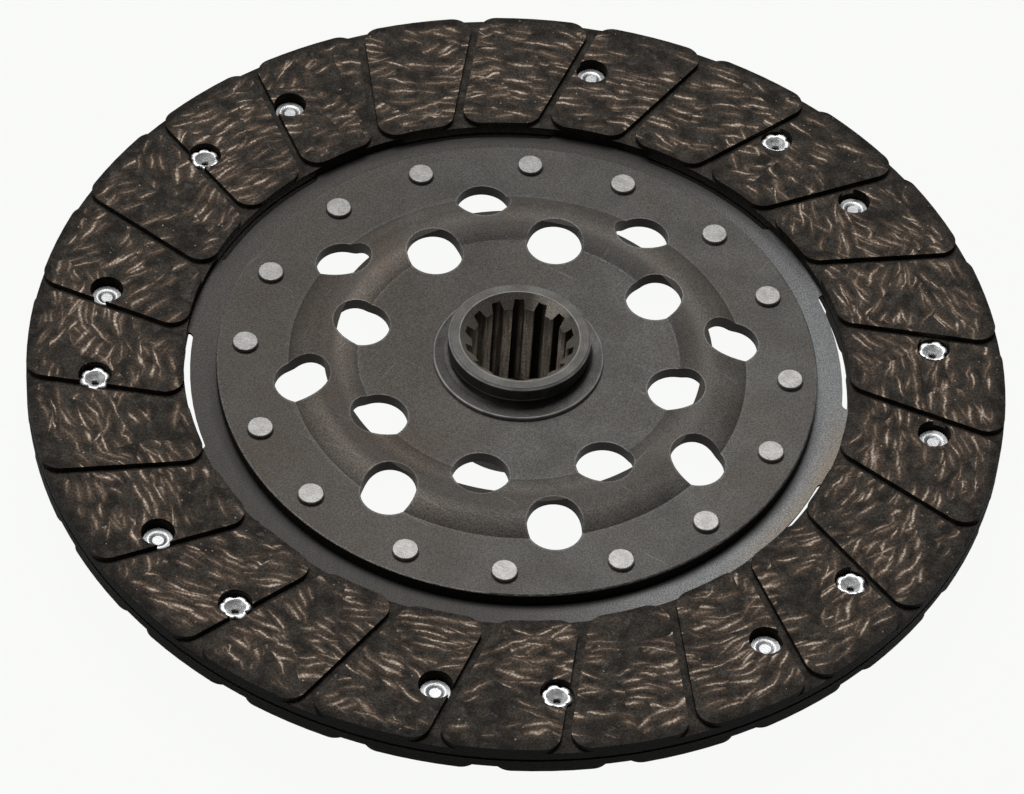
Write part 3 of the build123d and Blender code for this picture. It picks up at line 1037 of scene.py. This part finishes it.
@dataclass
class EndUpRivets(SubAssembly):
    """The tubular rivets that show their curled ends, split into six uneven petals.

    Lengths are in millimetres from the middle of the cushion plate and from the rivet's own axis.
    """

    prefix: str = "facing_rivet_up"
    finish: RivetSteel = CurledEndSteel()
    steps: int = 96
    petals: int = 6
    split_radius: float = 2.55
    curl_radius: float = 2.2
    tip_radius: float = 3.52
    curl_height: float = 1.38
    sharp_angle: float = 50.0
    section: tuple[tuple[float, float], ...] = (
        (0.0, -0.35), (0.72, -0.35), (0.80, 0.45), (0.98, 0.95), (1.35, 1.42),
        (1.75, 1.86), (2.05, 2.16), (2.30, 2.36), (2.60, 2.45), (2.98, 2.44),
        (3.30, 2.32), (3.52, 2.08), (3.50, 1.78), (3.36, 1.52), (3.00, 1.40),
        (2.00, 1.40), (2.00, -0.35), (3.42, -0.35), (3.50, -0.45), (3.50, -0.90),
        (3.30, -1.10), (2.45, -1.10), (1.40, -0.76), (0.0, -0.72),
    )

    def build(self) -> None:
        """Make the rivets with curled ends in place of the solid model's plainer ones."""
        material = self.finish.build()
        for number, node in enumerate(self.members()):
            low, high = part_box(node.name)
            piece = self._rivet(f"curled_rivet_{number + 1:02d}", (low + high) / 2, number)
            piece.data.materials.append(material)
            bpy.context.scene.collection.objects.link(piece)
            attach(piece, "root")
            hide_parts(node.name)
            log.info("%s: %s", piece.name, material.name)

    def _rivet(self, name: str, centre: Vector, number: int) -> bpy.types.Object:
        """Return one rivet, turned from its section and then split at its curled end.

        Args:
            name: The piece's name.
            centre: The middle of the node that it stands for.
            number: Which rivet it is, which makes its petals its own.

        Returns:
            The rivet's object, with its place in its mesh.
        """
        maker = bmesh.new()
        points = [maker.verts.new((radius, 0.0, height)) for radius, height in self.section]
        edges = [maker.edges.new(pair) for pair in zip(points, points[1:])]
        profile = {"geom": points + edges, "axis": (0, 0, 1), "cent": (0, 0, 0)}
        bmesh.ops.spin(maker, **profile, angle=math.tau, steps=self.steps, use_merge=True)
        bmesh.ops.remove_doubles(maker, verts=maker.verts, dist=0.001)
        for vertex in maker.verts:
            self._split(vertex.co, number)
        bmesh.ops.recalc_face_normals(maker, faces=maker.faces)
        bmesh.ops.scale(maker, vec=(MM, MM, MM), verts=maker.verts)
        place = Vector((centre.x, centre.y, 0.0))
        bmesh.ops.translate(maker, vec=place, verts=maker.verts)
        mesh = bpy.data.meshes.new(name)
        maker.to_mesh(mesh)
        maker.free()
        mesh.shade_smooth()
        mesh.set_sharp_from_angle(angle=math.radians(self.sharp_angle))
        return bpy.data.objects.new(name, mesh)

    def _split(self, point: Vector, number: int) -> None:
        """Draw a point of the curled end in where it lies between two petals.

        Args:
            point: The point, which is moved.
            number: Which rivet it is on.
        """
        radius = math.hypot(point.x, point.y)
        if radius <= self.curl_radius or point.z < self.curl_height:
            return
        turn = math.atan2(point.y, point.x) + 0.3 * number
        petal = round(turn * self.petals / math.tau)
        lean = 0.10 * math.sin(2.7 * petal + number)
        lobe = abs(math.cos(0.5 * self.petals * (turn + lean))) ** 0.55
        tip = self.tip_radius + 0.10 * math.sin(1.9 * petal + 2.3 * number)
        reach = self.split_radius + (tip - self.split_radius) * lobe
        share = (radius - self.curl_radius) / (self.tip_radius - self.curl_radius)
        drawn = self.curl_radius + share * (reach - self.curl_radius)
        point.x *= drawn / radius
        point.y *= drawn / radius
        if point.z > self.curl_height + 0.05:
            point.z += share * (0.10 * math.sin(2.1 * petal + 1.7 * number) - 0.10 * (1 - lobe))


# ---- Studio ----


@dataclass
class Camera:
    """A long lens that looks down on the disc from the front.

    Angles are in degrees and lengths in metres. The shift is in frame widths.
    """

    elevation: float = 48.45
    roll: float = 4.85
    distance: float = 1.18499
    aside: float = 0.007505
    above: float = -0.006364
    sensor: float = 36.0
    lens: float = 178.43
    shift: tuple[float, float] = (-0.0340, 0.0044)

    def build(self) -> None:
        """Add the camera and make it the scene's own."""
        elevation, roll = math.radians(self.elevation), math.radians(self.roll)
        level = Vector((1, 0, 0))
        ahead = Vector((0, math.cos(elevation), -math.sin(elevation)))
        upright = Vector((0, math.sin(elevation), math.cos(elevation)))
        right = math.cos(roll) * level + math.sin(roll) * upright
        up = math.cos(roll) * upright - math.sin(roll) * level
        data = bpy.data.cameras.new("camera")
        data.sensor_width, data.lens = self.sensor, self.lens
        data.shift_x, data.shift_y = self.shift
        data.clip_start, data.clip_end = 0.05, 50.0
        camera = bpy.data.objects.new("camera", data)
        camera.matrix_world = Matrix((right, up, -ahead)).transposed().to_4x4()
        camera.location = self.aside * level + self.above * upright - self.distance * ahead
        bpy.context.scene.collection.objects.link(camera)
        bpy.context.scene.camera = camera
        log.info("camera: lens %.1f mm", data.lens)


@dataclass
class SoftBox:
    """A square lamp that faces the disc.

    Angles are in degrees and lengths in metres. Azimuth 0 is +X and 90 is +Y.
    """

    name: str
    azimuth: float
    elevation: float
    distance: float
    side: float
    power: float
    colour: Colour = (1.0, 1.0, 1.0)

    def build(self) -> None:
        """Add the lamp."""
        azimuth, elevation = math.radians(self.azimuth), math.radians(self.elevation)
        data = bpy.data.lights.new(self.name, "AREA")
        data.shape, data.size = "SQUARE", self.side
        data.energy, data.color = self.power, self.colour
        lamp = bpy.data.objects.new(self.name, data)
        level = math.cos(elevation)
        way = (level * math.cos(azimuth), level * math.sin(azimuth), math.sin(elevation))
        lamp.location = self.distance * Vector(way)
        lamp.rotation_euler = lamp.location.to_track_quat("Z", "Y").to_euler()
        bpy.context.scene.collection.objects.link(lamp)


@dataclass
class Studio:
    """The floor, the room's light and the lamps.

    The floor is in metres, apart from foot_radius: the millimetres that the hub keeps in the dark.
    """

    floor_height: float
    floor_side: float = 12.0
    floor_paint: Colour = (0.20, 0.20, 0.20)
    floor_white: Colour = (0.985, 0.995, 0.98)
    floor_shade: float = 0.05
    foot_radius: float = 16.0
    room: Colour = (0.08, 0.08, 0.08)
    lamps: tuple[SoftBox, ...] = (
        SoftBox("key_lamp", 106, 68, 2.4, 1.1, 62.0),
        SoftBox("left_lamp", 185, 34, 2.0, 1.0, 4.0),
    )

    def build(self) -> None:
        """Add the floor, the world and the lamps."""
        self._add_floor()
        self._light_room()
        for lamp in self.lamps:
            lamp.build()
        log.info("studio: %d lamps", len(self.lamps))

    def _add_floor(self) -> None:
        """Add a wide plain floor under the hub's lower end."""
        mesh = bpy.data.meshes.new("floor")
        half = self.floor_side / 2
        outline = [(-half, -half), (half, -half), (half, half), (-half, half)]
        mesh.from_pydata([(x, y, self.floor_height) for x, y in outline], [], [(0, 1, 2, 3)])
        mesh.materials.append(self._floor_material())
        floor = bpy.data.objects.new("floor", mesh)
        bpy.context.scene.collection.objects.link(floor)
        floor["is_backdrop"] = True

    def _floor_material(self) -> bpy.types.Material:
        """Return a floor that looks white and still takes a soft shadow."""
        graph = Graph("floor")
        paint = graph.node("ShaderNodeBsdfDiffuse", inputs={"Color": self.floor_paint})
        glow = graph.node("ShaderNodeEmission", inputs={"Color": self.floor_white, "Strength": 1.0})
        path = graph.node("ShaderNodeLightPath")
        seen = graph.largest(graph.out(path, "Is Camera Ray"), graph.out(path, "Is Glossy Ray"))
        seen = graph.largest(seen, graph.out(path, "Is Transmission Ray"))
        clear = graph.smooth(DiscPlace(graph).radius, self.foot_radius - 1, self.foot_radius)
        factor = seen * clear * (1 - self.floor_shade)
        inputs = {0: factor, 1: graph.out(paint), 2: graph.out(glow)}
        mixed = graph.node("ShaderNodeMixShader", inputs=inputs)
        graph.node("ShaderNodeOutputMaterial", inputs={"Surface": graph.out(mixed)})
        return graph.material

    def _light_room(self) -> None:
        """Give the world one plain dim colour."""
        world = bpy.data.worlds.new("room")
        world.use_nodes = True
        background = world.node_tree.nodes["Background"]
        background.inputs["Color"].default_value = (*self.room, 1.0)
        background.inputs["Strength"].default_value = 1.0
        bpy.context.scene.world = world


def main() -> None:
    """Load the solid model, dress its pieces and set up the studio."""
    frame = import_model()
    solid_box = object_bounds()
    nodes = frame["nodes"]
    scene = bpy.context.scene
    scene.view_settings.view_transform = "Standard"
    Camera().build()
    Studio(floor_height=solid_box[0].z).build()
    for assembly in (Facings, CushionPlate, HubPlate, Hub, PlateRivets, HeadUpRivets, EndUpRivets):
        assembly(nodes).build()


if __name__ == "__main__":
    main()
